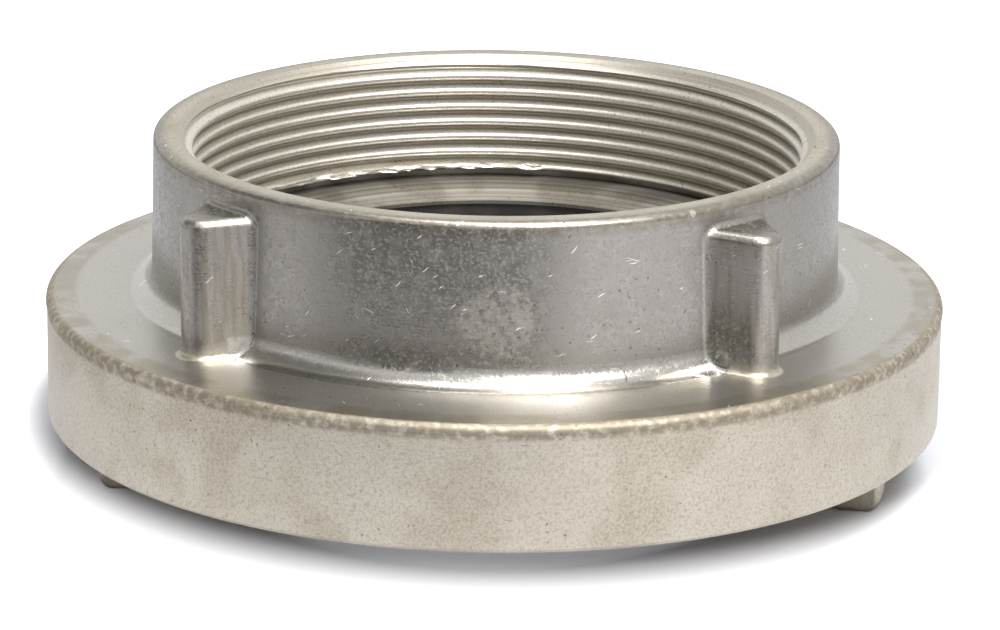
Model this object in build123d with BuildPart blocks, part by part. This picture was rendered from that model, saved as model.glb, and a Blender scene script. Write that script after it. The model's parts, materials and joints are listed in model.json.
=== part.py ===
from build123d import *
import os
from math import cos, hypot, radians, sin, tan

# Quarter turn fire hose coupling, fixed pattern: a forged and turned aluminium body with a pipe
# thread in its collar and two claws on its coupling face, and a rubber ring seated in that face.
# Millimetres and degrees. The axis is Z, the claw tips stand on Z = 0 and the collar points up.
# Angles run anticlockwise seen from the collar's side, from the centre of the claw on +X.

# ---- Driving dimensions ----
# Claws: half the distance between their inner faces is what the coupling's size is named by
claw_count = 2
claw_inner_radius = 44.5
claw_reach = 11.2           # rim face to the tips
claw_half_span = 11.5
claw_stem = 6.8             # thickness of the stem
hook_reach = 4.7            # how far the hook stands out from the stem
hook_thickness = 5.5
hook_nip = 0.6              # rounding of the hook's biting edge
hook_root = 1.0             # fillet between the hook and its stem
claw_tip_inner = 6.5        # rounding of the tip towards the axis
claw_tip_outer = 2.0        # and away from it
claw_edge = 0.8

# Coupling face: it takes the claws of an identical mate
boss_clearance = 0.9        # boss to the mate's claws
stem_clearance = 0.7        # lip to their stems
hook_clearance = 1.0        # channel's outer wall to their hooks
tip_clearance = 1.2         # channel's floor to their tips
channel_corner = 1.2        # bevel round the channel's floor
entry_start = 30.0          # claw's centre on to its own channel's entry
entry_play = 13.0           # how much wider the entry is than a claw
lip_slack_entry = 2.2       # lip to the mate's hook where it starts to bite
lip_slack_end = 1.1         # and at the stop
lip_edge = 0.6              # chamfer of the lip's edge on the rim face

# Flange
rim_wall = 6.0              # metal outside the channel
flange_height = 17.4        # rim face to the outer edge of the top face
flange_crown = 0.4          # rise of the top face from that edge to the collar's foot
forged_band = 1.25          # unturned band left under the top face
forged_step = 0.12          # how far that band stands proud of the turned wall
flange_corner = 1.1         # rounding of the top corner
rim_corner = 0.5            # chamfer of the lower corner

# Pipe thread G 3: the bore is cut to the thread's major diameter
thread_major_radius = 43.942
thread_length = 17.3        # mouth to the last turn
thread_relief = 1.0         # plain run between the last turn and the seat
mouth_bevel = 0.558

# Collar
collar_wall = 3.958         # at its top
collar_height = 22.7        # above the flange's edge
collar_draft = 1.0          # forging draft, in degrees
collar_corner = 1.0
foot_fillet = 3.0

# Wrench ribs
rib_count = 4
rib_stand = 7.3             # collar to the nose
rib_nose = 3.0              # radius of the nose in plan
rib_flank = 25.0            # flank to the rib's centre plane
rib_flare = 2.8             # radius of the hollow that runs each flank out into the collar
rib_bite = 0.15             # how deep that hollow ends in the collar's wall
rib_drop = 3.3              # collar's top down to the top of the nose
rib_rise = 1.5              # slope of the rib's top, up towards the collar
rib_edge = 1.3              # rounding of the top's edges
rib_foot = 0.9              # fillet between the rib and the flange

# Seal ring, in its groove behind the boss
boss_wall = 2.5
seal_clearance = 0.1        # round the ring in its groove
seal_thickness = 4.3
seal_proud = 0.85           # how far its lip stands out of the boss
seal_edge = 0.6             # chamfer of the lip
bead_depth = 8.0            # boss face to the middle of the snap bead
bead_height = 0.8
bead_foot = 1.2             # half the bead's width on the ring
bead_crest = 0.5            # and on its crest
pressure_depth = 3.6        # boss face to the middle of the groove behind the lip
pressure_cut = 2.2          # how far that groove goes into the ring
pressure_mouth = 1.7        # half its width at the mouth
pressure_floor = 0.8        # and at its floor

# Seat and waterway, over the ring
ledge_overhang = 0.7        # how far the metal stands in from the ring
ledge_thickness = 0.5       # metal left under the cone's edge
cone_width = 3.5
cone_depth = 2.0

# ---- Levels, from the claw tips up ----
rim_face = claw_reach
flange_top = rim_face + flange_height
crown_top = flange_top + flange_crown
collar_top = flange_top + collar_height
seat = collar_top - thread_length - thread_relief
cone_edge = seat - cone_depth
seal_top = cone_edge - ledge_thickness
bead_level = rim_face + bead_depth
pressure_level = rim_face + pressure_depth
rib_level = collar_top - rib_drop

# ---- Radii, out from the claws and in to the waterway ----
claw_stem_radius = claw_inner_radius + claw_stem
claw_outer_radius = claw_stem_radius + hook_reach
lip_radius = claw_stem_radius + stem_clearance
channel_radius = claw_outer_radius + hook_clearance
flange_radius = channel_radius + rim_wall
forged_radius = flange_radius + forged_step
boss_radius = claw_inner_radius - boss_clearance
groove_radius = boss_radius - boss_wall
seal_outer_radius = groove_radius - seal_clearance
seal_inner_radius = seal_outer_radius - seal_thickness
pressure_radius = seal_inner_radius + pressure_cut
waterway_radius = seal_inner_radius - ledge_overhang
seat_inner_radius = waterway_radius + cone_width
collar_radius = thread_major_radius + collar_wall
foot_radius = collar_radius + (collar_top - crown_top) * tan(radians(collar_draft))
mouth_radius = thread_major_radius + mouth_bevel
rib_reach = collar_radius + rib_stand

# ---- Channels: depth, lip and angles ----
channel_depth = claw_reach + tip_clearance
hook_underside = claw_reach - hook_thickness
lip_entry = hook_underside - lip_slack_entry
lip_end = hook_underside - lip_slack_end
entry_span = 2 * claw_half_span + entry_play
channel_pitch = 360.0 / claw_count
channel_end = channel_pitch - claw_half_span
lip_start = entry_start + entry_span
lip_span = channel_end - lip_start
overlap = 1.0               # how far a cutter or a grafted piece runs past its face


def near(sketch, radius, level):
    """The corner of a section nearest to a radius and a level."""
    return sketch.vertices().sort_by_distance((radius, level))[0]


def radial_plane(angle):
    """The plane through the axis at an angle, its x outwards and its y up."""
    turn = radians(angle)
    return Plane(origin=(0, 0, 0), x_dir=(cos(turn), sin(turn), 0), z_dir=(sin(turn), -cos(turn), 0))


def outside_collar(edge):
    """Whether the middle of an edge lies outside the collar's wall."""
    middle = edge.position_at(0.5)
    return hypot(middle.X, middle.Y) > collar_radius


def at_rib_foot(edge):
    """Whether an edge lies where a rib stands on the flange and on the collar's foot fillet."""
    middle = edge.center()
    radius = hypot(middle.X, middle.Y)
    return foot_radius < radius < rib_reach and flange_top < middle.Z < crown_top + foot_fillet


# ---- Forging: flange, collar, bore, seat and the groove for the seal ring ----
with BuildPart() as forging:
    with BuildSketch(Plane.XZ) as section:
        with BuildLine():
            Polyline(
                (groove_radius, rim_face),
                (flange_radius, rim_face),
                (flange_radius, flange_top - forged_band),
                (forged_radius, flange_top - forged_band),
                (forged_radius, flange_top),
                (foot_radius, crown_top),
                (collar_radius, collar_top),
                (mouth_radius, collar_top),
                (thread_major_radius, collar_top - mouth_bevel),
                (thread_major_radius, seat),
                (seat_inner_radius, seat),
                (waterway_radius, cone_edge),
                (waterway_radius, seal_top),
                (groove_radius, seal_top),
                (groove_radius, bead_level + bead_foot + seal_clearance),
                (groove_radius + bead_height, bead_level + bead_crest + seal_clearance),
                (groove_radius + bead_height, bead_level - bead_crest - seal_clearance),
                (groove_radius, bead_level - bead_foot - seal_clearance),
                close=True,
            )
        make_face()
        chamfer(near(section, flange_radius, rim_face), rim_corner)
        fillet(near(section, forged_radius, flange_top), flange_corner)
        fillet(near(section, collar_radius, collar_top), collar_corner)
        fillet(near(section, foot_radius, crown_top), foot_fillet)
    revolve(axis=Axis.Z)

# ---- Wrench rib, on +X, flared into the collar, its root buried in the collar's wall ----
rib_root = (thread_major_radius + collar_radius) / 2
buried_radius = collar_radius - rib_bite
nose_centre = rib_reach - rib_nose
flank_x = nose_centre + rib_nose * sin(radians(rib_flank))
flank_y = rib_nose * cos(radians(rib_flank))
root_y = flank_y + (flank_x - rib_root) * tan(radians(rib_flank))
rib_top = Plane(
    origin=(rib_reach, 0, rib_level),
    z_dir=(sin(radians(rib_rise)), 0, cos(radians(rib_rise))),
)

with BuildPart() as rib:
    with BuildSketch(Plane.XY.offset(flange_top - overlap)) as plan:
        with BuildLine():
            Line((rib_root, -root_y), (flank_x, -flank_y))
            ThreePointArc((flank_x, -flank_y), (rib_reach, 0), (flank_x, flank_y))
            Line((flank_x, flank_y), (rib_root, root_y))
            Line((rib_root, root_y), (rib_root, -root_y))
        make_face()
        Circle(buried_radius)
        fillet(plan.vertices().sort_by_distance((0, 0))[:2], rib_flare)
        with Locations(((rib_root + rib_reach) / 2, 0)):
            Rectangle(rib_reach - rib_root, 2 * (root_y + rib_flare), mode=Mode.INTERSECT)
    extrude(amount=collar_height)
    split(bisect_by=rib_top, keep=Keep.BOTTOM)
    top_edges = rib.faces().sort_by(Axis.Z)[-1].edges()
    fillet(top_edges.filter_by(outside_collar), rib_edge)

# ---- Channel of the coupling face: a kidney pocket, with an inward lip past its entry ----
lip_middle = radians(lip_start + lip_span / 2)
lip_run = (lip_radius + channel_radius) / 2 * sin(radians(lip_span / 2))
lip_slope = (lip_end - lip_entry) / (2 * lip_run)
lip_ramp = Plane(
    origin=(0, 0, rim_face + (lip_entry + lip_end) / 2),
    x_dir=(cos(lip_middle), sin(lip_middle), 0),
    z_dir=(lip_slope * sin(lip_middle), -lip_slope * cos(lip_middle), 1),
)
lip_width = channel_radius + overlap - lip_radius

with BuildPart() as lip:
    with BuildSketch(radial_plane(lip_start)):
        with Locations((lip_radius + lip_width / 2, rim_face + channel_depth / 2)):
            Rectangle(lip_width, channel_depth)
    revolve(axis=Axis.Z, revolution_arc=lip_span + claw_half_span / 2)
    split(bisect_by=lip_ramp, keep=Keep.BOTTOM)
    inner_wall = lip.faces().filter_by(GeomType.CYLINDER).sort_by(SortBy.RADIUS)[0]
    chamfer(inner_wall.edges().sort_by(Axis.Z)[0], lip_edge)

with BuildPart() as channel:
    with BuildSketch(radial_plane(entry_start)):
        with Locations(((boss_radius + channel_radius) / 2, rim_face + channel_depth / 2)):
            Rectangle(channel_radius - boss_radius, channel_depth)
    revolve(axis=Axis.Z, revolution_arc=channel_end - entry_start)
    chamfer(channel.faces().sort_by(Axis.Z)[-1].edges(), channel_corner)
    add(lip.part, mode=Mode.SUBTRACT)

# ---- Claw, centred on +X, its stem carried a little way into the flange ----
with BuildPart() as claw:
    with BuildSketch(radial_plane(-claw_half_span)) as hook:
        with BuildLine():
            Polyline(
                (claw_inner_radius, rim_face + overlap),
                (claw_inner_radius, 0),
                (claw_outer_radius, 0),
                (claw_outer_radius, hook_thickness),
                (claw_stem_radius, hook_thickness),
                (claw_stem_radius, rim_face + overlap),
                close=True,
            )
        make_face()
        fillet(near(hook, claw_inner_radius, 0), claw_tip_inner)
        fillet(near(hook, claw_outer_radius, 0), claw_tip_outer)
        fillet(near(hook, claw_outer_radius, hook_thickness), hook_nip)
        fillet(near(hook, claw_stem_radius, hook_thickness), hook_root)
    revolve(axis=Axis.Z, revolution_arc=2 * claw_half_span)
    for end in (claw.faces().sort_by(Axis.Y)[0], claw.faces().sort_by(Axis.Y)[-1]):
        tip_edges = end.edges().filter_by(lambda edge: edge.center().Z < rim_face / 2)
        fillet(tip_edges, claw_edge)

# ---- Coupling body: one piece ----
with BuildPart() as coupling_body:
    add(forging.part)
    with PolarLocations(0, rib_count, start_angle=180 / rib_count):
        add(rib.part)
    rib_edges = coupling_body.edges().filter_by(GeomType.CIRCLE, reverse=True)
    fillet(rib_edges.filter_by(at_rib_foot), rib_foot)
    with PolarLocations(0, claw_count):
        add(channel.part, mode=Mode.SUBTRACT)
    with PolarLocations(0, claw_count):
        add(claw.part)

# ---- Seal ring: a rubber sleeve with a snap bead, a proud lip and a groove behind it ----
seal_lip = rim_face - seal_proud

with BuildPart() as seal_ring:
    with BuildSketch(Plane.XZ) as ring:
        with BuildLine():
            Polyline(
                (seal_inner_radius, seal_lip),
                (seal_outer_radius, seal_lip),
                (seal_outer_radius, bead_level - bead_foot),
                (seal_outer_radius + bead_height, bead_level - bead_crest),
                (seal_outer_radius + bead_height, bead_level + bead_crest),
                (seal_outer_radius, bead_level + bead_foot),
                (seal_outer_radius, seal_top),
                (seal_inner_radius, seal_top),
                (seal_inner_radius, pressure_level + pressure_mouth),
                (pressure_radius, pressure_level + pressure_floor),
                (pressure_radius, pressure_level - pressure_floor),
                (seal_inner_radius, pressure_level - pressure_mouth),
                close=True,
            )
        make_face()
        chamfer(ring.vertices().group_by(Axis.Y)[0], seal_edge)
    revolve(axis=Axis.Z)

# ---- Files ----
coupling_body.part.label = "coupling_body"
seal_ring.part.label = "seal_ring"
os.makedirs("parts", exist_ok=True)
export_step(coupling_body.part, "parts/coupling_body.step")
export_step(seal_ring.part, "parts/seal_ring.step")
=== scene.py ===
"""Quarter turn fire hose coupling: worn forged aluminium, a chased pipe thread and a rubber seal ring."""

from __future__ import annotations

import json
import logging
import math
from dataclasses import dataclass
from enum import Enum

import bpy
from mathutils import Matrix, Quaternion, Vector, noise

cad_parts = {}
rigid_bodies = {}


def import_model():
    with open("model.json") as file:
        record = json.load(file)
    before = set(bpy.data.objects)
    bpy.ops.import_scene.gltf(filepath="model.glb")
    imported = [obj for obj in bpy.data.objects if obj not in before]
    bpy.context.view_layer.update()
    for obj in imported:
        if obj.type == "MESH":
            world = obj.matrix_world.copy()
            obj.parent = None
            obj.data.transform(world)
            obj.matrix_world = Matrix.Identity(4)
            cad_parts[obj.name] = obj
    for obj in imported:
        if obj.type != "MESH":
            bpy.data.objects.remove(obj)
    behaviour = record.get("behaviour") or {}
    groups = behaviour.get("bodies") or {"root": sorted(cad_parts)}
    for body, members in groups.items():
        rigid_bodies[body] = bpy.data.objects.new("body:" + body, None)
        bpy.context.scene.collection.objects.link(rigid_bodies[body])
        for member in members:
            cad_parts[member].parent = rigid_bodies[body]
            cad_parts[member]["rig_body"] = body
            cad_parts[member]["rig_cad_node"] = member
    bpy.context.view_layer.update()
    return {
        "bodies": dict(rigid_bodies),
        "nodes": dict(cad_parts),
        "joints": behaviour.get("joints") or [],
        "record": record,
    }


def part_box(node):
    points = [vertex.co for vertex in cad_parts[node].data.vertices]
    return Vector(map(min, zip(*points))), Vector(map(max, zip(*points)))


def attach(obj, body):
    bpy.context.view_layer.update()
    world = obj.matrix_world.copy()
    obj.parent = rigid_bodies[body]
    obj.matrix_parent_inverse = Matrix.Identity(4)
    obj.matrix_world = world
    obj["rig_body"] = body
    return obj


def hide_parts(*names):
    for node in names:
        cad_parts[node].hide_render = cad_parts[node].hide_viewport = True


MM = 0.001
ROOT = "root"
# Triangles that fold by less than FLAT_DEG are joined into quads no further than SKEW_DEG off square
FLAT_DEG = 4.0
SKEW_DEG = 60.0
# Above 50 the larger faces count for more in the shading
FACE_WEIGHT = 60
log = logging.getLogger("coupling")


# ---------------------------------------------------------------- shared helpers


def linear(hex_colour: str) -> tuple[float, float, float, float]:
    """Turns an sRGB hex colour to linear.

    Args:
        hex_colour: Six hex digits after a hash.

    Returns:
        Red, green, blue and an alpha of 1.
    """
    shares = [int(hex_colour[i : i + 2], 16) / 255 for i in (1, 3, 5)]
    red, green, blue = (s / 12.92 if s <= 0.04045 else ((s + 0.055) / 1.055) ** 2.4 for s in shares)
    return red, green, blue, 1.0


def add(
    tree: bpy.types.NodeTree, kind: str, inputs: dict | None = None, **settings: object
) -> bpy.types.Node:
    """Adds a shader node with its settings and its inputs.

    Args:
        tree: The node tree it goes into.
        kind: The node's type without its "ShaderNode".
        inputs: Socket names or numbers, each with a value or with the output that feeds it.
        **settings: The node's own properties.

    Returns:
        The new node.
    """
    node = tree.nodes.new("ShaderNode" + kind)
    for name, value in settings.items():
        setattr(node, name, value)
    for name, value in (inputs or {}).items():
        if isinstance(value, bpy.types.NodeSocket):
            tree.links.new(value, node.inputs[name])
        else:
            node.inputs[name].default_value = value
    return node


def blank_material(name: str) -> bpy.types.Material:
    """Makes a material with an empty node tree.

    Args:
        name: Its name.

    Returns:
        The material.
    """
    material = bpy.data.materials.new(name)
    material.use_nodes = True
    material.node_tree.nodes.clear()
    return material


def deselect() -> None:
    """Leaves object mode with nothing selected."""
    if bpy.context.object and bpy.context.object.mode != "OBJECT":
        bpy.ops.object.mode_set(mode="OBJECT")
    bpy.ops.object.select_all(action="DESELECT")


def activate(piece: bpy.types.Object) -> None:
    """Selects one piece and nothing else.

    Args:
        piece: The piece.
    """
    deselect()
    piece.select_set(True)
    bpy.context.view_layer.objects.active = piece


def dress(piece: bpy.types.Object, material: bpy.types.Material) -> None:
    """Gives a piece its only material and its body.

    Args:
        piece: The finished piece.
        material: Its finish.
    """
    piece.data.materials.clear()
    piece.data.materials.append(material)
    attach(piece, ROOT)
    log.info("%s: %d faces", piece.name, len(piece.data.polygons))


def welded_copy(node: bpy.types.Object, name: str, weld_mm: float = 0.002) -> bpy.types.Object:
    """Copies a node and joins its loose triangles.

    Args:
        node: The node from the frame, which stays as it is.
        name: The copy's name.
        weld_mm: Corners nearer than this are one.

    Returns:
        The copy.
    """
    activate(node)
    bpy.ops.object.duplicate()
    piece = bpy.context.object
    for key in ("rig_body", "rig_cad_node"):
        del piece[key]
    piece.parent = None
    piece.name = name
    bpy.ops.object.mode_set(mode="EDIT")
    bpy.ops.mesh.select_all(action="SELECT")
    bpy.ops.mesh.customdata_custom_splitnormals_clear()
    bpy.ops.mesh.remove_doubles(threshold=weld_mm * MM)
    bpy.ops.mesh.tris_convert_to_quads(
        face_threshold=math.radians(FLAT_DEG), shape_threshold=math.radians(SKEW_DEG)
    )
    bpy.ops.object.mode_set(mode="OBJECT")
    return piece


def shade(piece: bpy.types.Object, sharp_deg: float) -> None:
    """Shades a piece smooth, by its larger faces.

    Args:
        piece: The piece.
        sharp_deg: Edges that turn by more than this stay sharp.
    """
    activate(piece)
    bpy.ops.object.shade_smooth_by_angle(angle=math.radians(sharp_deg))
    weighted = piece.modifiers.new("even_shading", "WEIGHTED_NORMAL")
    weighted.mode = "FACE_AREA"
    weighted.weight = FACE_WEIGHT
    weighted.keep_sharp = True
    bpy.ops.object.modifier_apply(modifier=weighted.name)


# ---------------------------------------------------------------- finishes


Masks = dict[str, bpy.types.NodeSocket]


class Mark(Enum):
    """How a pattern of marks runs: its stretch, and its slant in degrees."""

    ROUND = (1.0, 0.0)
    LEVEL = (14.0, 0.0)
    RISING = (8.0, -35.0)
    FALLING = (8.0, 50.0)
    UPRIGHT = (12.0, 88.0)


@dataclass
class Ground:
    """Where a point of the surface is on the coupling, in mm, as sockets of one material's tree."""

    tree: bpy.types.NodeTree
    bend_mm: float = 2.0
    bend_scale: float = 0.3
    ragged_scale: float = 0.8

    def __post_init__(self) -> None:
        """Makes the sockets."""
        metres = add(self.tree, "TexCoord").outputs["Object"]
        scaled = add(self.tree, "VectorMath", {0: metres, 1: (1 / MM,) * 3}, operation="MULTIPLY")
        self.place = scaled.outputs[0]
        flat = add(self.tree, "VectorMath", {0: self.place, 1: (1, 1, 0)}, operation="MULTIPLY")
        away = add(self.tree, "VectorMath", {0: flat.outputs[0]}, operation="LENGTH")
        self.radius = away.outputs["Value"]
        self.level = add(self.tree, "SeparateXYZ", {0: self.place}).outputs["Z"]
        normal = add(self.tree, "NewGeometry").outputs["True Normal"]
        self.up = add(self.tree, "SeparateXYZ", {0: normal}).outputs["Z"]
        # Marks are drawn on a slightly bent place, so that none is quite straight
        bend = add(self.tree, "TexNoise", {"Vector": self.place, "Scale": self.bend_scale, "Detail": 1.0})
        bent = {0: bend.outputs["Color"], 1: (self.bend_mm,) * 3, 2: self.place}
        self.bent = add(self.tree, "VectorMath", bent, operation="MULTIPLY_ADD").outputs[0]

    def times(self, *masks: bpy.types.NodeSocket | float) -> bpy.types.NodeSocket:
        """Multiplies masks.

        Args:
            *masks: Masks or plain shares, the first of them a mask.

        Returns:
            Their product.
        """
        product = masks[0]
        for mask in masks[1:]:
            product = add(self.tree, "Math", {0: product, 1: mask}, operation="MULTIPLY").outputs[0]
        return product

    def zone(
        self, radius: tuple[float, float], level: tuple[float, float], soft: float
    ) -> bpy.types.NodeSocket:
        """Marks a span of radii and levels.

        Args:
            radius: Inner and outer radius.
            level: Lower and upper level.
            soft: How far the mark fades past them.

        Returns:
            A mask, 1 within the span.
        """
        mask = 1.0
        for value, (low, high) in ((self.radius, radius), (self.level, level)):
            rise = {"Value": value, "From Min": low - soft, "From Max": low}
            fall = {"Value": value, "From Min": high + soft, "From Max": high}
            for ends in (rise, fall):
                step = add(self.tree, "MapRange", ends, interpolation_type="SMOOTHSTEP")
                mask = self.times(step.outputs[0], mask)
        return mask

    def spot(self, centre: tuple[float, float, float], size: float, soft: float) -> bpy.types.NodeSocket:
        """Marks a ragged round patch about a point.

        Args:
            centre: The point.
            size: The patch's radius.
            soft: How far it fades.

        Returns:
            A mask, 1 near the point.
        """
        edge = {"Vector": self.place, "Scale": self.ragged_scale, "Detail": 4.0}
        ragged = add(self.tree, "TexNoise", edge).outputs[0]
        away = add(self.tree, "VectorMath", {0: self.place, 1: centre}, operation="DISTANCE")
        reach = {0: ragged, 1: size, 2: away.outputs["Value"]}
        wander = add(self.tree, "Math", reach, operation="MULTIPLY_ADD")
        # The noise adds about half the size to the distance, so the edge is at one and a half sizes
        ends = {"Value": wander.outputs[0], "From Min": 1.5 * size + soft, "From Max": 1.5 * size}
        return add(self.tree, "MapRange", ends, interpolation_type="SMOOTHSTEP").outputs[0]

    def stretched(self, size: float, mark: Mark, seed: float) -> dict:
        """The inputs that turn a pattern to its slant and then stretch it.

        Args:
            size: The pattern's width across.
            mark: How it runs.
            seed: Moves it.

        Returns:
            A Mapping node's inputs, for its texture kind.
        """
        stretch, slant = mark.value
        return {
            "Location": (seed, seed, seed),
            "Rotation": (0, math.radians(slant), 0),
            "Scale": (size * stretch, size * stretch, size),
        }

    def blotches(
        self,
        size: float,
        low: float,
        high: float,
        mark: Mark = Mark.ROUND,
        seed: float = 0.0,
        detail: float = 5.0,
    ) -> bpy.types.NodeSocket:
        """Marks uneven patches.

        Args:
            size: A patch's width.
            low: Share of the noise below which nothing shows.
            high: And above which it shows in full.
            mark: How the patches are stretched.
            seed: Moves the pattern.
            detail: How finely its edges break up.

        Returns:
            A mask.
        """
        pattern = {"Vector": self.place, **self.stretched(size, mark, seed)}
        turned = add(self.tree, "Mapping", pattern, vector_type="TEXTURE")
        field = add(self.tree, "TexNoise", {"Vector": turned.outputs[0], "Scale": 1.0, "Detail": detail})
        ends = {"Value": field.outputs[0], "From Min": low, "From Max": high}
        return add(self.tree, "MapRange", ends, interpolation_type="SMOOTHSTEP").outputs[0]

    def nicks(
        self, size: float, share: float, mark: Mark, seed: float, core: float
    ) -> bpy.types.NodeSocket:
        """Scatters small separate marks: pits, nicks or short scratches.

        Args:
            size: Spacing of the marks across.
            share: Share of the places that hold one.
            mark: How they are stretched.
            seed: Moves the pattern.
            core: A mark's half width as a share of the spacing.

        Returns:
            A mask.
        """
        pattern = {"Vector": self.bent, **self.stretched(size, mark, seed)}
        turned = add(self.tree, "Mapping", pattern, vector_type="TEXTURE")
        cells = add(self.tree, "TexVoronoi", {"Vector": turned.outputs[0], "Scale": 1.0})
        # A mark fades over the outer half of its width
        ends = {"Value": cells.outputs["Distance"], "From Min": core, "From Max": core / 2}
        near = add(self.tree, "MapRange", ends, interpolation_type="SMOOTHSTEP")
        lot = add(self.tree, "SeparateXYZ", {0: cells.outputs["Color"]}).outputs[0]
        kept = add(self.tree, "Math", {0: lot, 1: share}, operation="LESS_THAN")
        return self.times(near.outputs[0], kept.outputs[0])

    def lay(
        self,
        under: bpy.types.NodeSocket | tuple,
        over: tuple | float,
        mask: bpy.types.NodeSocket,
        strength: float = 1.0,
    ) -> bpy.types.NodeSocket:
        """Lays a colour, or a plain value, over another through a mask.

        Args:
            under: What lies below.
            over: What goes on top.
            mask: Where it goes.
            strength: How much of it.

        Returns:
            The blend.
        """
        share = self.times(mask, strength)
        if isinstance(over, tuple):
            blend = add(self.tree, "Mix", {0: share, 6: under, 7: over}, data_type="RGBA")
            return blend.outputs[2]
        return add(self.tree, "Mix", {0: share, 2: under, 3: over}).outputs[0]


@dataclass(frozen=True)
class WornAluminium:
    """Forged aluminium, turned, tumbled dull and worn.

    To the eye it is a grey-beige metal with a fine grain. Hands and spanners have rubbed the collar and the
    flange's top greyer and glossier, and brown grime stays along the corners. The collar is also painted
    darker than the flange: partly its own rubbed tone, partly a painted dark reflection.
    """

    name: str = "worn_forged_aluminium"
    metal: str = "#BBB5A7"
    pale: str = "#C8C3B6"
    drab: str = "#968B75"
    # The collar's colour: partly its rubbed grey tone, partly a painted dark reflection
    grey_and_dark_reflection: str = "#918F8C"
    grime: str = "#7B7160"
    pit: str = "#544B3D"
    bare: str = "#F4F2EC"
    seat: str = "#9C9993"
    # Painted shade for the thread's roots
    groove: str = "#B3ADA1"
    crest: str = "#E0DCD3"
    top: str = "#BAB8B4"
    dirt: str = "#4E483F"
    roughness: float = 0.42
    grain_mm: float = 0.3
    lathe_mm: float = 0.22
    grain_depth_mm: float = 0.02
    wave_depth_mm: float = 0.06

    def zones(self, ground: Ground) -> Masks:
        """Places the coupling's faces, edges and worn spots: radii first, then levels, all in mm.

        Args:
            ground: Where the surface is.

        Returns:
            Masks by name.
        """
        level = {"Value": ground.up, "From Min": 0.9, "From Max": 0.98}
        flat = add(ground.tree, "MapRange", level).outputs[0]
        rubbed = ground.blotches(0.9, low=0.4, high=0.52, seed=23)
        return {
            "collar": ground.zone((47.0, 56.0), (31.0, 50.6), soft=1.5),
            "flange_top": ground.times(ground.zone((48.0, 61.8), (27.0, 30.5), soft=0.5), flat),
            "bore": ground.zone((42.0, 44.6), (33.6, 51.0), soft=0.3),
            "groove": ground.zone((43.7, 44.6), (33.6, 51.0), soft=0.5),
            "seat": ground.zone((36.0, 44.6), (30.0, 34.2), soft=0.3),
            "burr": ground.zone((40.0, 42.38), (33.6, 36.0), soft=0.05),
            "rim": ground.times(ground.zone((59.5, 62.6), (27.0, 30.0), soft=1.2), flat),
            "ribs": ground.zone((49.4, 56.0), (31.5, 47.5), soft=0.5),
            "nick": ground.spot((28.0, -38.5, 50.7), size=0.35, soft=0.25),
            "foot": ground.zone((48.6, 51.0), (28.8, 31.6), soft=0.5),
            "rubbed": ground.times(ground.spot((3.0, -48.0, 38.0), size=4.2, soft=1.2), rubbed),
            "flange_edge": ground.zone((62.5, 63.4), (26.9, 28.4), soft=0.7),
            "collar_edge": ground.zone((47.1, 48.2), (49.8, 51.6), soft=1.0),
            "handled": ground.zone((46.0, 62.0), (28.0, 52.0), soft=1.0),
            "wall": ground.zone((62.6, 63.4), (13.0, 27.0), soft=1.0),
        }

    def marks(self, ground: Ground, zones: Masks) -> Masks:
        """Places the marks that both the colour and the relief show.

        Args:
            ground: Where the surface is.
            zones: What zones() returned.

        Returns:
            Masks by name.
        """
        # Real grain is near 0.1 mm: three times coarser here, so that it shows
        grain = {"Vector": ground.place, "Scale": 1 / self.grain_mm, "Detail": 3.0}
        patches = ground.blotches(7, low=0.46, high=0.56, seed=51, detail=2)
        struck = ground.spot((-9.0, -47.0, 41.0), size=7.0, soft=6.0)
        scratched = add(ground.tree, "Math", {0: patches, 1: struck}, operation="MAXIMUM").outputs[0]
        pitted = ground.blotches(9, low=0.45, high=0.6, seed=77, detail=2)
        turned = ground.times(zones["wall"], ground.blotches(11, low=0.44, high=0.6, seed=91))
        return {
            "grain": add(ground.tree, "TexNoise", grain).outputs[0],
            "specks": ground.blotches(0.45, low=0.5, high=0.66, seed=29, detail=3),
            "pits": ground.times(ground.nicks(0.9, 0.3, Mark.ROUND, seed=5, core=0.24), pitted),
            "turning": ground.times(ground.nicks(0.55, 0.4, Mark.LEVEL, seed=83, core=0.14), turned),
            "cuts": ground.times(ground.nicks(1.1, 0.22, Mark.FALLING, seed=17, core=0.13), pitted),
            "strokes": ground.times(ground.nicks(0.7, 0.6, Mark.RISING, seed=11, core=0.12), scratched),
            "scores": ground.times(ground.nicks(0.7, 0.5, Mark.FALLING, seed=61, core=0.12), struck),
            "scrapes": ground.times(ground.nicks(0.7, 0.5, Mark.LEVEL, seed=41, core=0.12), scratched),
        }

    def tone(self, ground: Ground, zones: Masks, marks: Masks) -> bpy.types.NodeSocket:
        """Builds the colour, layer by layer.

        Args:
            ground: Where the surface is.
            zones: What zones() returned.
            marks: What marks() returned.

        Returns:
            The colour.
        """
        stain = ground.blotches(13, low=0.46, high=0.64, seed=31, detail=6)
        speckle = ground.blotches(0.35, low=0.5, high=0.62, seed=7, detail=2)
        streaks = ground.blotches(0.7, low=0.42, high=0.62, mark=Mark.UPRIGHT, seed=37, detail=2)
        # Rings of dirt on the seat, as wide as the marks of its facing cut
        rings = {"W": ground.radius, "Scale": 1.6, "Detail": 3.0}
        turned = add(ground.tree, "TexNoise", rings, noise_dimensions="1D").outputs[0]
        turned = add(ground.tree, "MapRange", {"Value": turned, "From Min": 0.4, "From Max": 0.6})
        dirty = ground.blotches(9, low=0.42, high=0.6, seed=63, detail=4)
        ragged = ground.blotches(1.1, low=0.3, high=0.6, seed=3, detail=6)
        grainy = add(ground.tree, "MapRange", {"Value": marks["grain"], "From Min": 0.45, "From Max": 0.68})
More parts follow.
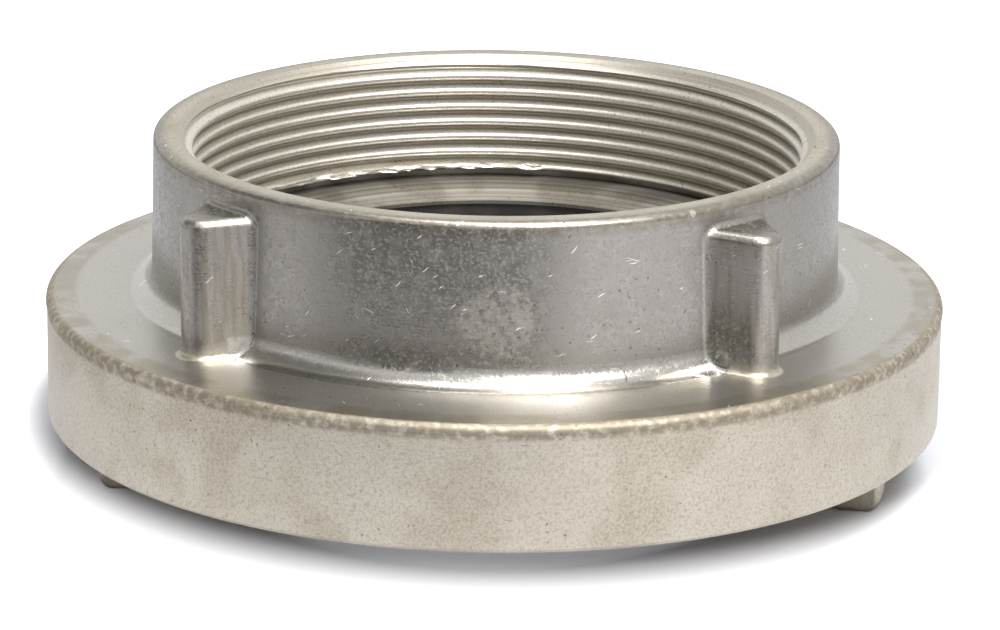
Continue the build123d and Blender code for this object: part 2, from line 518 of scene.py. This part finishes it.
        # Each layer has its colour, where it lies and how much of it shows
        layers = [
            (self.pale, ground.blotches(14, low=0.42, high=0.62, detail=4), 0.3),
            (self.drab, stain, 0.25),
            (self.drab, marks["specks"], 0.4),
            (self.grime, ground.times(speckle, stain), 0.3),
            # The collar is painted greyer and darker than the flange: partly its rubbed tone, partly a
            # painted dark reflection
            (self.grey_and_dark_reflection, zones["collar"], 0.85),
            (self.top, zones["flange_top"], 0.8),
            (self.top, zones["foot"], 0.8),
            (self.grime, ground.times(zones["ribs"], streaks), 0.45),
            (self.drab, ground.times(zones["rim"], ground.blotches(5, low=0.3, high=0.6)), 0.6),
            (self.pale, zones["rubbed"], 0.3),
            (self.bare, zones["nick"], 1.0),
            (self.crest, zones["bore"], 0.9),
            # The thread's roots are painted darker than its crests: painted shade in the roots
            (self.groove, zones["groove"], 0.9),
            (self.seat, zones["seat"], 0.9),
            (self.dirt, ground.times(zones["seat"], turned.outputs[0]), 0.6),
            (self.dirt, ground.times(zones["seat"], dirty), 0.45),
            (self.bare, zones["burr"], 1.0),
            (self.grime, ground.times(zones["flange_edge"], ragged), 0.7),
            (self.grime, ground.times(zones["collar_edge"], ragged), 0.5),
            (self.drab, grainy.outputs[0], 0.4),
            (self.pit, marks["pits"], 0.65),
            (self.pit, marks["cuts"], 0.55),
            (self.pit, marks["turning"], 0.5),
        ]
        for light in ("strokes", "scores", "scrapes"):
            layers.append((self.bare, ground.times(marks[light], zones["handled"]), 0.75))
        colour = linear(self.metal)
        for paint, mask, strength in layers:
            colour = ground.lay(colour, linear(paint), mask, strength)
        return colour

    def polish(self, ground: Ground, zones: Masks, marks: Masks) -> bpy.types.NodeSocket:
        """Builds the roughness, smoother where hands and spanners rub.

        Args:
            ground: Where the surface is.
            zones: What zones() returned.
            marks: What marks() returned.

        Returns:
            The roughness.
        """
        dull = ground.blotches(1.6, low=0.42, high=0.66, seed=19, detail=5)
        # Each layer has its roughness, where it lies and how much of it counts
        layers = (
            (0.5, ground.blotches(12, low=0.4, high=0.65, seed=9, detail=3), 1.0),
            (0.27, zones["collar"], 1.0),
            (0.34, zones["flange_top"], 1.0),
            (0.2, zones["foot"], 1.0),
            (0.4, zones["rubbed"], 0.8),
            (0.6, zones["flange_edge"], 1.0),
            (0.46, zones["bore"], 1.0),
            (0.6, zones["seat"], 1.0),
            (0.35, ground.times(zones["collar"], dull), 1.0),
            (0.58, ground.times(zones["collar"], marks["specks"]), 0.8),
            (0.5, marks["strokes"], 0.9),
        )
        rough = self.roughness
        for roughness, mask, strength in layers:
            rough = ground.lay(rough, roughness, mask, strength)
        return rough

    def relief(self, ground: Ground, marks: Masks) -> bpy.types.NodeSocket:
        """Builds the bumps: tumbled grain, turned lines, pits and scratches.

        Args:
            ground: Where the surface is.
            marks: What marks() returned.

        Returns:
            The normal.
        """
        # Turned lines are about 0.2 mm apart: noise stretched along the level
        lines = ground.blotches(self.lathe_mm, low=0.2, high=0.8, mark=Mark.LEVEL, detail=1)
        height = marks["grain"]
        for mask, lift in ((lines, 0.4), (marks["pits"], -1.2), (marks["strokes"], -1.2)):
            raised = add(ground.tree, "Math", {0: mask, 1: lift, 2: height}, operation="MULTIPLY_ADD")
            height = raised.outputs[0]
        grain = {"Height": height, "Strength": 0.7, "Distance": self.grain_depth_mm * MM}
        fine = add(ground.tree, "Bump", grain).outputs[0]
        waves = {"Vector": ground.place, "Scale": 0.35, "Detail": 2.0}
        slow = add(ground.tree, "TexNoise", waves).outputs[0]
        skin = {"Height": slow, "Strength": 0.35, "Distance": self.wave_depth_mm * MM, "Normal": fine}
        return add(ground.tree, "Bump", skin).outputs[0]

    def build(self) -> bpy.types.Material:
        """Returns the material."""
        material = blank_material(self.name)
        tree = material.node_tree
        ground = Ground(tree)
        zones = self.zones(ground)
        marks = self.marks(ground, zones)
        finish = {
            "Base Color": self.tone(ground, zones, marks),
            "Metallic": 1.0,
            "Roughness": self.polish(ground, zones, marks),
            "Normal": self.relief(ground, marks),
        }
        shader = add(tree, "BsdfPrincipled", finish)
        add(tree, "OutputMaterial", {"Surface": shader.outputs[0]})
        return material


@dataclass(frozen=True)
class MouldedRubber:
    """Black nitrile rubber as it leaves the mould.

    To the eye it is a matt, warm black, with a faint grey bloom in patches and no grain to speak of.
    """

    name: str = "moulded_nitrile_rubber"
    rubber: str = "#1E1B18"
    bloom: str = "#34302B"
    roughness: float = 0.62
    grain_mm: float = 0.25
    grain_depth_mm: float = 0.03

    def build(self) -> bpy.types.Material:
        """Returns the material."""
        material = blank_material(self.name)
        tree = material.node_tree
        ground = Ground(tree)
        colour = ground.lay(linear(self.rubber), linear(self.bloom), ground.blotches(7, low=0.35, high=0.7))
        grain = add(tree, "TexNoise", {"Vector": ground.place, "Scale": 1 / self.grain_mm})
        skin = {"Height": grain.outputs[0], "Strength": 0.2, "Distance": self.grain_depth_mm * MM}
        bump = add(tree, "Bump", skin)
        finish = {"Base Color": colour, "Roughness": self.roughness, "Normal": bump.outputs[0]}
        shader = add(tree, "BsdfPrincipled", finish)
        add(tree, "OutputMaterial", {"Surface": shader.outputs[0]})
        return material


# ---------------------------------------------------------------- the coupling


@dataclass(frozen=True)
class Round:
    """A rounded corner that runs round the axis.

    It has its centre's radius and level, its own radius, and a side of 1 for a corner or -1 for a hollow.
    """

    radius_mm: float
    level_mm: float
    size_mm: float
    side: int

    def normal(self, radius: float, level: float, slack: float = 0.05) -> tuple[float, float] | None:
        """The true normal at a point of the corner.

        Args:
            radius: The point's distance from the axis.
            level: Its height.
            slack: How far off the corner it may lie.

        Returns:
            The normal's outward and upward shares, or None away from the corner.
        """
        out, up = radius - self.radius_mm, level - self.level_mm
        if self.side * out < -slack or self.side * up < -slack:
            return None
        if abs(math.hypot(out, up) - self.size_mm) > slack:
            return None
        length = self.side * math.hypot(out, up)
        return out / length, up / length

    def on_round(self, place: Vector) -> Vector:
        """Moves a point onto the corner.

        Args:
            place: The point, in mm.

        Returns:
            The corner's point next to it, in mm.
        """
        radius = place.xy.length
        out = self.side * max(self.side * (radius - self.radius_mm), 0.0)
        up = self.side * max(self.side * (place.z - self.level_mm), 0.0)
        scale = self.size_mm / math.hypot(out, up)
        across = (self.radius_mm + out * scale) / radius
        return Vector((place.x * across, place.y * across, self.level_mm + up * scale))


@dataclass
class Forging:
    """The aluminium body, taken from the frame and smoothed."""

    node: str = "coupling_body"
    sharp_deg: float = 32.0
    flange_corner_mm: float = 1.1
    collar_corner_mm: float = 1.0
    foot_fillet_mm: float = 3.0
    collar_height_mm: float = 22.7
    collar_top_radius_mm: float = 47.9
    collar_draft_mm: float = 0.39
    crown_mm: float = 0.4
    flange_corner_lift_mm: float = 0.03
    collar_corner_out_mm: float = 0.02
    foot_in_mm: float = 0.05
    foot_down_mm: float = 0.08
    corner_cuts: int = 1
    same_way: float = 0.8
    turned_way: float = 0.99

    def rounds(self) -> tuple[Round, ...]:
        """The forging's three long rounded corners, placed from the frame's box.

        The crown's slope and the collar's draft shift their centres by the small lengths named for them.

        Returns:
            The flange's corner, the collar's corner and the hollow at the collar's foot.
        """
        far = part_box(self.node)[1] / MM
        flange_radius, top = far.x, far.z
        flange_top = top - self.collar_height_mm
        flange, collar, foot = self.flange_corner_mm, self.collar_corner_mm, self.foot_fillet_mm
        collar_radius = self.collar_top_radius_mm - collar + self.collar_corner_out_mm
        foot_radius = self.collar_top_radius_mm + self.collar_draft_mm + foot - self.foot_in_mm
        foot_level = flange_top + self.crown_mm + foot - self.foot_down_mm
        return (
            Round(flange_radius - flange, flange_top - flange + self.flange_corner_lift_mm, flange, 1),
            Round(collar_radius, top - collar, collar, 1),
            Round(foot_radius, foot_level, foot, -1),
        )

    def refine(self, piece: bpy.types.Object) -> None:
        """Cuts the long corners' faces finer and sets their points on the true round.

        Args:
            piece: The welded body.
        """
        activate(piece)
        for corner in self.rounds():
            bpy.ops.object.mode_set(mode="EDIT")
            bpy.ops.mesh.select_mode(type="FACE")
            bpy.ops.mesh.select_all(action="DESELECT")
            bpy.ops.object.mode_set(mode="OBJECT")
            places = [vertex.co / MM for vertex in piece.data.vertices]
            held = [corner.normal(place.xy.length, place.z) is not None for place in places]
            for face in piece.data.polygons:
                face.select = all(held[index] for index in face.vertices)
            bpy.ops.object.mode_set(mode="EDIT")
            bpy.ops.mesh.subdivide(number_cuts=self.corner_cuts)
            bpy.ops.object.mode_set(mode="OBJECT")
            for vertex in piece.data.vertices:
                if vertex.select:
                    vertex.co = corner.on_round(vertex.co / MM) * MM
        # The thread's tube starts from one point, so points can be selected again
        bpy.context.tool_settings.mesh_select_mode = (True, False, False)

    def true_normals(self, piece: bpy.types.Object) -> None:
        """Gives the turned faces and their rounded corners the normals of the true surface.

        Args:
            piece: The shaded body.
        """
        rounds = self.rounds()
        normals = [Vector(corner.vector) for corner in piece.data.corner_normals]
        for face in piece.data.polygons:
            for index in face.loop_indices:
                place = piece.data.vertices[piece.data.loops[index].vertex_index].co / MM
                radius = place.xy.length
                outward = place.xy / radius
                facing, rise = face.normal.xy.dot(outward), face.normal.z
                exact = [pair for corner in rounds if (pair := corner.normal(radius, place.z))]
                exact = [pair for pair in exact if pair[0] * facing + pair[1] * rise > self.same_way]
                # Ribs and claws, which face across the radius, keep the normals they have
                normal = normals[index]
                level_share, out = normal.xy.length, normal.xy.dot(outward)
                if exact:
                    share, rise = exact[0]
                elif abs(out) > self.turned_way * level_share:
                    share, rise = math.copysign(level_share, out), normal.z
                else:
                    continue
                normal.xyz = (outward.x * share, outward.y * share, rise)
        piece.data.normals_split_custom_set(normals)

    def build(self, frame: dict, material: bpy.types.Material) -> None:
        """Smooths a copy of the node and lets it stand for it.

        Args:
            material: The body's finish.
        """
        piece = welded_copy(frame["nodes"][self.node], "forged_body")
        self.refine(piece)
        shade(piece, self.sharp_deg)
        self.true_normals(piece)
        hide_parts(self.node)
        dress(piece, material)


@dataclass
class PipeThread:
    """The chased G 3 thread: a sleeve with the thread inside it and its back within the collar's wall."""

    major_mm: float = 43.93
    minor_mm: float = 42.463
    pitch_mm: float = 2.309
    crest_round_mm: float = 0.5
    root_round_mm: float = 0.25
    flank_deg: float = 27.5
    back_mm: float = 44.4
    mouth_mm: float = 44.5
    run_mm: float = 17.3
    crest_from_top_mm: float = 3.0
    crest_turn: float = 0.25
    weld_mm: float = 0.001
    rings: int = 132
    steps: int = 240
    torn_reach_mm: float = 1.1
    torn_deg: tuple[float, float] = (84.0, 142.0)
    torn_level_mm: tuple[float, float] = (0.2, 1.0)
    torn_along: float = 1.1
    torn_across: float = 2.5
    torn_seed: float = 3.0
    torn_share: float = 0.45
    sharp_deg: float = 50.0

    def wall(self, level: float, angle: float, top: float) -> float:
        """The thread's radius.

        Args:
            level: Height, in mm.
            angle: Angle round the axis, in radians.
            top: The collar's top, in mm.

        Returns:
            The radius in mm, with the mouth's bevel.
        """
        # Right-handed: a crest climbs with the angle, and is crest_from_top_mm down at crest_turn
        climbed = (level - top + self.crest_from_top_mm) / self.pitch_mm
        turns = climbed - (angle / math.tau - self.crest_turn)
        off_crest = abs(turns - round(turns)) * self.pitch_mm
        flank = math.radians(self.flank_deg)
        crest_half = self.crest_round_mm * math.cos(flank)
        root_half = self.root_round_mm * math.cos(flank)
        half = self.pitch_mm / 2
        # On the rounded crest, in the rounded root, or on the straight flank between them
        if off_crest < crest_half:
            radius = self.minor_mm + self.crest_round_mm - math.sqrt(self.crest_round_mm**2 - off_crest**2)
        elif off_crest > half - root_half:
            drop = half - off_crest
            radius = self.major_mm - self.root_round_mm + math.sqrt(self.root_round_mm**2 - drop**2)
        else:
            share = (off_crest - crest_half) / (half - crest_half - root_half)
            crest_end = self.minor_mm + self.crest_round_mm * (1 - math.sin(flank))
            root_end = self.major_mm - self.root_round_mm * (1 - math.sin(flank))
            radius = crest_end + share * (root_end - crest_end)
        bevel = self.mouth_mm - (top - level)
        return max(radius, min(bevel, self.back_mm))

    def burr(self, level: float, angle: float, low: float) -> float:
        """How far the last turn's torn lip stands in.

        Args:
            level: Height, in mm.
            angle: Angle round the axis, in radians.
            low: The thread's lower end, in mm.

        Returns:
            A length in mm, 0 away from the lip.
        """
        start, end = self.torn_deg
        degrees = math.degrees(angle) % 360
        under, over = self.torn_level_mm
        if not (start < degrees < end and under < level - low < over):
            return 0.0
        place = Vector((degrees * self.torn_along, level * self.torn_across, self.torn_seed))
        return self.torn_reach_mm * max(noise.noise(place) + self.torn_share, 0.0)

    def build(self, material: bpy.types.Material) -> None:
        """Spins a tube, cuts the thread into it and closes it behind.

        Args:
            material: The thread's finish.
        """
        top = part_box("coupling_body")[1].z / MM
        low, high = top - self.run_mm, top - (self.mouth_mm - self.major_mm)
        deselect()
        bpy.ops.mesh.primitive_plane_add(size=1.0)
        piece = bpy.context.object
        piece.name = "pipe_thread"
        bpy.ops.object.mode_set(mode="EDIT")
        bpy.ops.mesh.merge(type="CENTER")
        bpy.ops.transform.translate(value=(self.major_mm * MM, 0, low * MM))
        bpy.ops.mesh.extrude_region_move(TRANSFORM_OT_translate={"value": (0, 0, (high - low) * MM)})
        bpy.ops.mesh.select_all(action="SELECT")
        bpy.ops.mesh.subdivide(number_cuts=self.rings - 1)
        bpy.ops.mesh.select_all(action="SELECT")
        bpy.ops.mesh.spin(steps=self.steps, angle=math.tau, center=(0, 0, 0), axis=(0, 0, 1))
        bpy.ops.mesh.select_all(action="SELECT")
        bpy.ops.mesh.remove_doubles(threshold=self.weld_mm * MM)
        bpy.ops.object.mode_set(mode="OBJECT")
        for vertex in piece.data.vertices:
            angle = math.atan2(vertex.co.y, vertex.co.x)
            level = vertex.co.z / MM
            self.set_radius(vertex, self.wall(level, angle, top) - self.burr(level, angle, low))
        self.close(piece)
        bpy.ops.object.shade_smooth_by_angle(angle=math.radians(self.sharp_deg))
        dress(piece, material)

    def set_radius(self, vertex: bpy.types.MeshVertex, radius: float) -> None:
        """Moves a point in or out at its own level.

        Args:
            vertex: The point.
            radius: Its new distance from the axis, in mm.
        """
        scale = radius * MM / math.hypot(vertex.co.x, vertex.co.y)
        vertex.co.x *= scale
        vertex.co.y *= scale

    def close(self, piece: bpy.types.Object) -> None:
        """Turns the tube's two open ends out to its back and joins them there.

        Args:
            piece: The tube with the thread in it.
        """
        bpy.ops.object.mode_set(mode="EDIT")
        bpy.ops.mesh.select_mode(type="EDGE")
        bpy.ops.mesh.select_all(action="DESELECT")
        bpy.ops.mesh.select_non_manifold()
        bpy.ops.mesh.extrude_edges_move()
        bpy.ops.object.mode_set(mode="OBJECT")
        for vertex in piece.data.vertices:
            if vertex.select:
                self.set_radius(vertex, self.back_mm)
        bpy.ops.object.mode_set(mode="EDIT")
        bpy.ops.mesh.bridge_edge_loops()
        bpy.ops.mesh.select_all(action="SELECT")
        bpy.ops.mesh.normals_make_consistent(inside=False)
        bpy.ops.object.mode_set(mode="OBJECT")


@dataclass
class SealRing:
    """The rubber ring: the node's own shape, smoothed."""

    node: str = "seal_ring"
    sharp_deg: float = 25.0

    def build(self, frame: dict, material: bpy.types.Material) -> None:
        """Smooths a copy of the node and lets it stand for it.

        Args:
            material: The rubber.
        """
        piece = welded_copy(frame["nodes"][self.node], "rubber_ring")
        shade(piece, self.sharp_deg)
        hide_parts(self.node)
        dress(piece, material)


# ---------------------------------------------------------------- studio


@dataclass
class Studio:
    """A white floor, soft boxes, dark cards that only gloss sees, and a camera just right of the front."""

    distance_m: float = 0.64
    elevation_deg: float = 16.4
    azimuth_deg: float = 3.1
    roll_deg: float = 0.78
    lens_mm: float = 163.3
    sensor_mm: float = 36.0
    pivot_m: float = 0.0312
    aim_right_m: float = 0.0008
    aim_down_m: float = 0.0067
    shadow_radius_m: float = 0.068
    shadow_back_m: float = 0.0358
    shadow_front_m: float = 0.0185
    shadow_side_m: float = 0.007
    floor_m: float = 6.0
    floor_paint: str = "#DEDEE4"
    floor_in_gloss: float = 0.1
    dome: float = 0.15
    card_core: float = 0.55
    card_sides: tuple[float, float] = (0.68, 0.93)
    card_ramp_m: float = 0.05

    def towards(self, azimuth: float, elevation: float, distance: float) -> Vector:
        """Finds a point about the origin.

        Args:
            azimuth: Its direction in degrees, from the front and positive to the right.
            elevation: How far up it is, in degrees.
            distance: How far away it is, in metres.

        Returns:
            The point.
        """
        turn, tilt = math.radians(azimuth), math.radians(elevation)
        return distance * Vector(
            (math.sin(turn) * math.cos(tilt), -math.cos(turn) * math.cos(tilt), math.sin(tilt))
        )

    def camera(self) -> None:
        """Makes the camera."""
        back = self.towards(self.azimuth_deg, self.elevation_deg, 1.0)
        turn = math.radians(self.azimuth_deg)
        right = Vector((math.cos(turn), math.sin(turn), 0.0))
        up = back.cross(right)
        pivot = Vector((0, 0, self.pivot_m))
        place = pivot + back * self.distance_m
        aim = pivot + right * self.aim_right_m - up * self.aim_down_m
        data = bpy.data.cameras.new("camera")
        data.lens, data.sensor_width = self.lens_mm, self.sensor_mm
        data.clip_start, data.clip_end = 0.01, 20.0
        camera = bpy.data.objects.new("camera", data)
        camera.rotation_mode = "QUATERNION"
        camera.location = place
        look = (aim - place).to_track_quat("-Z", "Y")
        camera.rotation_quaternion = look @ Quaternion((0, 0, 1), math.radians(self.roll_deg))
        bpy.context.scene.collection.objects.link(camera)
        bpy.context.scene.camera = camera

    def floor(self) -> None:
        """Makes the floor, white in the open, with the lamps' shadow under the object and a painted shadow
        about it.
        """
        deselect()
        bpy.ops.mesh.primitive_plane_add(size=self.floor_m, location=(0, 0, 0))
        floor = bpy.context.object
        floor.name = "floor"
        material = blank_material("floor_white")
        tree = material.node_tree
        rays = add(tree, "LightPath").outputs
        sight = {0: rays["Is Glossy Ray"], 1: self.floor_in_gloss, 2: rays["Is Camera Ray"]}
        seen = add(tree, "Math", sight, operation="MULTIPLY_ADD")
        # Painted shadow: the glow fades out over a band about the flange's outline, set behind it, narrow
        # at its sides and wide at its front and back
        metres = add(tree, "TexCoord").outputs["Object"]
        from_shadow = {0: metres, 1: (0.0, self.shadow_back_m, 0.0)}
        off = add(tree, "VectorMath", from_shadow, operation="SUBTRACT").outputs[0]
        out = add(tree, "VectorMath", {0: off}, operation="LENGTH").outputs["Value"]
        forward = add(tree, "SeparateXYZ", {0: off}).outputs["Y"]
        ahead = add(tree, "Math", {0: forward, 1: out}, operation="DIVIDE").outputs[0]
        squared = add(tree, "Math", {0: ahead, 1: ahead}, operation="MULTIPLY").outputs[0]
        reach = {0: squared, 1: self.shadow_front_m - self.shadow_side_m, 2: self.shadow_side_m}
        width = add(tree, "Math", reach, operation="MULTIPLY_ADD")
        past = add(tree, "Math", {0: out, 1: self.shadow_radius_m}, operation="SUBTRACT")
        share = add(tree, "Math", {0: past.outputs[0], 1: width.outputs[0]}, operation="DIVIDE")
        open_floor = add(tree, "MapRange", {"Value": share.outputs[0]}, interpolation_type="SMOOTHSTEP")
        glow = add(tree, "Math", {0: seen.outputs[0], 1: open_floor.outputs[0]}, operation="MULTIPLY")
        paint = add(tree, "BsdfDiffuse", {"Color": linear(self.floor_paint)})
        light = add(tree, "Emission", {"Color": (1, 1, 1, 1), "Strength": glow.outputs[0]})
        both = add(tree, "AddShader", {0: paint.outputs[0], 1: light.outputs[0]})
        add(tree, "OutputMaterial", {"Surface": both.outputs[0]})
        floor.data.materials.append(material)

    def world(self) -> None:
        """Makes a soft dome, white where it is seen."""
        world = bpy.data.worlds.new("world")
        world.use_nodes = True
        tree = world.node_tree
        tree.nodes.clear()
        rays = add(tree, "LightPath").outputs
        seen = add(tree, "Math", {0: rays["Is Camera Ray"], 1: rays["Is Glossy Ray"]}, operation="MAXIMUM")
        strength = add(tree, "MapRange", {"Value": seen.outputs[0], "To Min": self.dome, "To Max": 1.0})
        back = add(tree, "Background", {"Color": (1, 1, 1, 1), "Strength": strength.outputs[0]})
        add(tree, "OutputWorld", {"Surface": back.outputs[0]})
        bpy.context.scene.world = world

    def soft_box(self, name: str, place: Vector, size: float, power: float, in_gloss: bool = True) -> None:
        """Adds a square lamp that faces the object.

        Args:
            name: Its name.
            place: Where it stands.
            size: Its side, in metres.
            power: Its power, in watts.
            in_gloss: Whether the metal shows it.
        """
        data = bpy.data.lights.new(name, "AREA")
        data.size, data.energy = size, power
        lamp = bpy.data.objects.new(name, data)
        lamp.location = place
        lamp.rotation_mode = "QUATERNION"
        lamp.rotation_quaternion = (-place).to_track_quat("-Z", "Y")
        lamp.visible_glossy = in_gloss
        bpy.context.scene.collection.objects.link(lamp)

    def dark_card(
        self,
        name: str,
        place: Vector,
        radius: float,
        grey: float,
        inner: float = 0.0,
        towards_deg: float | None = None,
    ) -> None:
        """Adds a round card with a soft edge that only gloss sees, and that the metal darkens in.

        Args:
            name: Its name.
            place: Its centre.
            radius: Its radius, in metres.
            grey: How bright it is.
            inner: Radius of its clear middle, for a card that lies on the floor about the object.
            towards_deg: Azimuth of the side that such a card covers.
        """
        deselect()
        bpy.ops.mesh.primitive_circle_add(vertices=48, radius=radius, fill_type="NGON")
        card = bpy.context.object
        card.name = name
        if towards_deg is None:
            card.rotation_mode = "QUATERNION"
            card.rotation_quaternion = (-place).to_track_quat("Z", "Y")
        card.location = place
        card.visible_camera = card.visible_diffuse = False
        card.visible_shadow = card.visible_transmission = False
        material = blank_material(name)
        tree = material.node_tree
        place_on = add(tree, "TexCoord").outputs["Object"]
        out = add(tree, "VectorMath", {0: place_on}, operation="LENGTH").outputs["Value"]
        fade = {"Value": out, "From Min": radius, "From Max": self.card_core * radius}
        cover = add(tree, "MapRange", fade, interpolation_type="SMOOTHSTEP").outputs[0]
        if towards_deg is not None:
            side = self.towards(towards_deg, 0, 1.0)
            along = add(tree, "VectorMath", {0: place_on, 1: side}, operation="DOT_PRODUCT")
            turned = add(tree, "Math", {0: along.outputs["Value"], 1: out}, operation="DIVIDE").outputs[0]
            for value, low, high in ((turned, *self.card_sides), (out, inner, inner + self.card_ramp_m)):
                step = {"Value": value, "From Min": low, "From Max": high}
                share = add(tree, "MapRange", step, interpolation_type="SMOOTHSTEP").outputs[0]
                cover = add(tree, "Math", {0: cover, 1: share}, operation="MULTIPLY").outputs[0]
        dark = add(tree, "Emission", {"Color": (grey, grey, grey, 1)})
        clear = add(tree, "BsdfTransparent")
        mixed = add(tree, "MixShader", {0: cover, 1: clear.outputs[0], 2: dark.outputs[0]})
        add(tree, "OutputMaterial", {"Surface": mixed.outputs[0]})
        card.data.materials.append(material)

    def build(self) -> None:
        """Builds the whole studio."""
        bpy.context.scene.view_settings.view_transform = "Standard"
        self.camera()
        self.floor()
        self.world()
        self.soft_box("front_fill", self.towards(0, 27, 0.8), size=0.25, power=2.5, in_gloss=False)
        self.soft_box("key", self.towards(28, 52, 0.6), size=0.2, power=4.0)
        self.soft_box("top", self.towards(10, 84, 0.6), size=0.26, power=1.6)
        just_above = Vector((0, 0, MM))
        self.dark_card("floor_card", just_above, radius=0.6, grey=0.15, inner=0.125, towards_deg=-14)
        self.dark_card("camera_card", self.towards(-28, 10, 0.9), radius=0.42, grey=0.2)
        self.dark_card("left_card", self.towards(-90, 45, 0.8), radius=0.5, grey=0.3)


def main() -> None:
    """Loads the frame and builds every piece."""
    logging.basicConfig(level=logging.INFO, format="%(name)s %(message)s")
    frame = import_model()
    metal = WornAluminium().build()
    Forging().build(frame, metal)
    PipeThread().build(metal)
    SealRing().build(frame, MouldedRubber().build())
    Studio().build()


if __name__ == "__main__":
    main()
